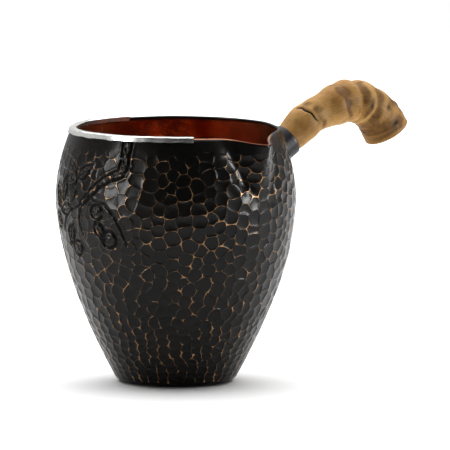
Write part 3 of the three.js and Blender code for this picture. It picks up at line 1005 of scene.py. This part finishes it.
def handle_surface():
    """The rings of the handle from the tenon to the cut end, and what marks each point carries."""
    at, line, runs = smooth_line(HANDLE_LINE, 400)
    length = at[-1]
    around = np.arange(HANDLE_ROUND) * 2 * math.pi / HANDLE_ROUND
    rows, brown, dark, grain = [], [], [], []

    def add_row(distance, radius, marks=(0.0, 0.0), inset=0.0):
        where = np.clip(distance - inset, 0, length)
        x, z = np.interp(where, at, line[:, 0]), np.interp(where, at, line[:, 1])
        run_x, run_z = np.interp(where, at, runs[:, 0]), np.interp(where, at, runs[:, 1])
        size = np.hypot(run_x, run_z)
        up_x, up_z = -run_z / size, run_x / size
        radius = np.broadcast_to(radius, around.shape)
        tall = radius * np.sin(around)
        rows.append(np.column_stack([x + tall * up_x, radius * np.cos(around), z + tall * up_z]))
        brown.extend(np.broadcast_to(marks[0], around.shape))
        dark.extend(np.broadcast_to(marks[1], around.shape))
        grain.extend(zip(np.full(HANDLE_ROUND, distance * 0.12), np.cos(around) * 7, np.sin(around) * 7))

    tenon = [(0, -0.5), (0.3, -0.12), (0.6, 0), (2.6, 0), (4.6, 0), (SHOULDER - 0.3, 0), (SHOULDER, 0.05)]
    for distance, more in tenon:
        add_row(distance, TENON_R + more)
    for row in range(HANDLE_ROWS):
        share = row / (HANDLE_ROWS - 1)
        distance = SHOULDER + (length - SHOULDER) * share
        place = int(np.searchsorted(HANDLE_SHARES, share, side="left"))
        place = min(max(place, 1), len(HANDLE_SHARES) - 1)
        eased = soft_step(share, HANDLE_SHARES[place - 1], HANDLE_SHARES[place])
        radius = np.full(HANDLE_ROUND, float(blend(HANDLE_RADII[place - 1], HANDLE_RADII[place], eased)))
        marks_brown_and_shade = np.zeros(HANDLE_ROUND)
        marks_dark = np.zeros(HANDLE_ROUND)
        # The inside of the bend is smoother
        calm = 1 - 0.65 * soft_step(-np.sin(around), 0.1, 0.9)
        for number, (node, high, wide, notch) in enumerate(NODES):
            leans = 0.012 * np.sin(around + 1.3 * number) + 0.006 * np.sin(3 * around + number)
            off = share - node - leans
            uneven = 1 + 0.35 * np.sin(2 * around + 2.2 * number) + 0.2 * np.sin(5 * around + number)
            radius += high * calm * uneven * bell(off, 0, wide)
            radius -= notch * calm * bell(off, 1.35 * wide, 0.55 * wide)
            marks_brown_and_shade += 0.22 * uneven * bell(off, 1.4 * wide, 0.9 * wide)
            marks_dark += 0.2 * notch * bell(off, 1.25 * wide, 0.4 * wide)
        surface = np.column_stack([np.full(HANDLE_ROUND, distance), np.cos(around) * 6, np.sin(around) * 6])
        wander = 0.03 * ripple(surface, 3.5, 5.0)
        ragged = np.clip(0.8 + 1.1 * ripple(surface, 2.6, 6.0), 0, 1.5)
        for at_share, degrees, reach, reach_round, strength in PATCHES:
            side = np.degrees(turned_from(math.radians(degrees), around)) + 300 * wander
            marks_brown_and_shade += strength * ragged * oval(share - at_share + wander, reach, side, reach_round)
        for at_share, degrees, reach, reach_round, strength in SCARS:
            side = np.degrees(turned_from(math.radians(degrees), around))
            spot = strength * oval(share - at_share, reach, side, reach_round)
            halo = strength * oval(share - at_share, 2.4 * reach, side, 2.4 * reach_round)
            radius -= 0.45 * spot
            marks_dark += 0.8 * spot
            marks_brown_and_shade += 0.8 * halo
        crack_side = turned_from(CRACK_TURN, around)
        crack_at = CRACK_AT + 0.018 * crack_side + 0.004 * np.sin(9 * crack_side) + 0.1 * wander
        crack = bell(share, crack_at, CRACK_WIDTH) * soft_step(CRACK_HALF - np.abs(crack_side), 0, 0.5)
        radius -= 0.6 * crack
        marks_dark += 1.3 * crack
        radius += 0.3 * ripple(surface, 6.0, 1.0) + 0.08 * ripple(surface, 1.8, 2.0)
        # Brown clouds past the crack, a brown underside near the cut end that is painted shade, and a paler
        # neck
        clouds = np.clip(ripple(surface * (1, 0.6, 0.6), 4.6, 7.0) - 0.12, 0, 1)
        marks_brown_and_shade += 1.1 * clouds * float(soft_step(share, 0.15, 0.35))
        marks_brown_and_shade += 0.35 * soft_step(-np.sin(around), 0.2, 1.0) * float(soft_step(share, 0.6, 0.8))
        marks_brown_and_shade -= 0.3 * float(bell(share, 0.1, 0.13))
        if row == 0:
            add_row(distance, radius - 0.35, (marks_brown_and_shade, marks_dark))
        add_row(distance, radius, (marks_brown_and_shade, marks_dark), inset=0.25 if row == 0 else 0.0)
    # The cut end, with a rounded edge and a dark pith
    last = np.linalg.norm(rows[-1] - np.mean(rows[-1], axis=0), axis=1)
    run_x, run_z = runs[-1] / np.linalg.norm(runs[-1])
    for share, out in ((0.975, 0.22), (0.94, 0.3), (0.8, 0.34), (0.55, 0.32), (0.3, 0.3), (0.12, 0.12)):
        add_row(length, last * share, (0.9, 0.12 if share > 0.2 else 0.6))
        rows[-1] += np.array([run_x, 0, run_z]) * out
    return rows, brown, dark, grain


def bamboo_root():
    finish = new_finish("bamboo_root")
    place = finish.place()
    grain = finish.add("Attribute", {"attribute_name": "grain"}, output="Vector")
    fibres = finish.mottle(grain, 3.2, 4, 0.6)
    clouds = finish.mottle(place, 95, 3)
    pale = finish.mix(clouds.between(0.35, 0.65), (0.42, 0.21, 0.052, 1), (0.55, 0.305, 0.09, 1))
    pale = finish.mix(fibres.between(0.35, 0.75) * 0.45, pale, (0.14, 0.062, 0.014, 1))
    # The brown mask holds the wood's brown patches and bands, and also painted shade low on the handle near
    # its cut end
    brown = (finish.mask("brown") * 1.1 + (clouds - 0.5) * 0.9).between(0.25, 1.0)
    colour = finish.mix(brown * (0.55 + fibres * 0.4), pale, (0.115, 0.047, 0.011, 1))
    specks = finish.mottle(place, 330, 4)
    colour = finish.mix(specks.between(0.52, 0.72) * (0.25 + brown * 0.4), colour, (0.075, 0.035, 0.010, 1))
    colour = finish.mix(finish.mask("dark").between(0.15, 1.1), colour, (0.012, 0.006, 0.003, 1))
    return finish.surface(
        Base_Color=colour,
        Roughness=0.5 + brown * 0.1 + (fibres - 0.5) * 0.12,
        Specular_IOR_Level=0.12,
        Normal=finish.bumps(fibres + clouds * 0.6, 0.00012, 0.6),
    )


handle_rows, handle_brown_and_shade, handle_dark, handle_grain = handle_surface()
handle_points, handle_faces = ring_skin(handle_rows)
extra = len(handle_points) - len(handle_brown_and_shade)
handle_masks = {
    "brown": handle_brown_and_shade + [0.9] * extra,
    "dark": handle_dark + [0.7] * extra,
    "grain": handle_grain + [(0.0, 0.0, 0.0)] * extra,
}
handle = add_piece("root_handle", handle_points, handle_faces, bamboo_root(), handle_masks)
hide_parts("handle_grip")
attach(handle, "root")

# ---------------------------------------------------------------- The nail
# A small copper nail through the side of the socket into the tenon, away from the spout. Its head is
# hammered into an uneven dome.

NAIL_BACK = 3.0
NAIL_R = 0.8
NAIL_FROM = 2.6
NAIL_HEAD_R = 1.6
NAIL_HEAD_HEIGHT = 0.7
NAIL_HEAD_EDGE = 0.12
NAIL_ROUND = 36
nail_start = SOCKET_END - along_socket * NAIL_BACK
head_at = SOCKET_OUTER_R + GAP


def nail_copper():
    finish = new_finish("nail_copper")
    place = finish.place()
    cloud = finish.mottle(place, 900, 3)
    colour = finish.mix(cloud.between(0.35, 0.7), (0.10, 0.05, 0.03, 1), (0.45, 0.23, 0.13, 1))
    return finish.surface(Base_Color=colour, Metallic=0.9, Roughness=0.3 + cloud * 0.2)


nail_outline = [(0.3, NAIL_FROM), (NAIL_R, NAIL_FROM + 0.6), (NAIL_R, head_at - 0.05)]
nail_outline += [(NAIL_HEAD_R - 0.1, head_at), (NAIL_HEAD_R, head_at + NAIL_HEAD_EDGE)]
for step in range(1, 7):
    angle = step * math.pi / 14
    high = head_at + blend(NAIL_HEAD_EDGE, NAIL_HEAD_HEIGHT, math.sin(angle))
    nail_outline.append((NAIL_HEAD_R * math.cos(angle), high))
nail_rows = []
for radius, out in nail_outline:
    row = []
    for i in range(NAIL_ROUND):
        angle = i * 2 * math.pi / NAIL_ROUND
        dinged = radius * (1 + (0.05 * math.sin(3 * angle + 1) if out > head_at else 0))
        round_it = along_socket * math.cos(angle) + top_of_socket * math.sin(angle)
        row.append(nail_start + side_of_socket * out + round_it * dinged)
    nail_rows.append(row)
nail_points, nail_faces = ring_skin(nail_rows)
nail = add_piece("copper_nail", nail_points, nail_faces, nail_copper(), crease=50)
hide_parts("handle_pin")
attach(nail, "root")
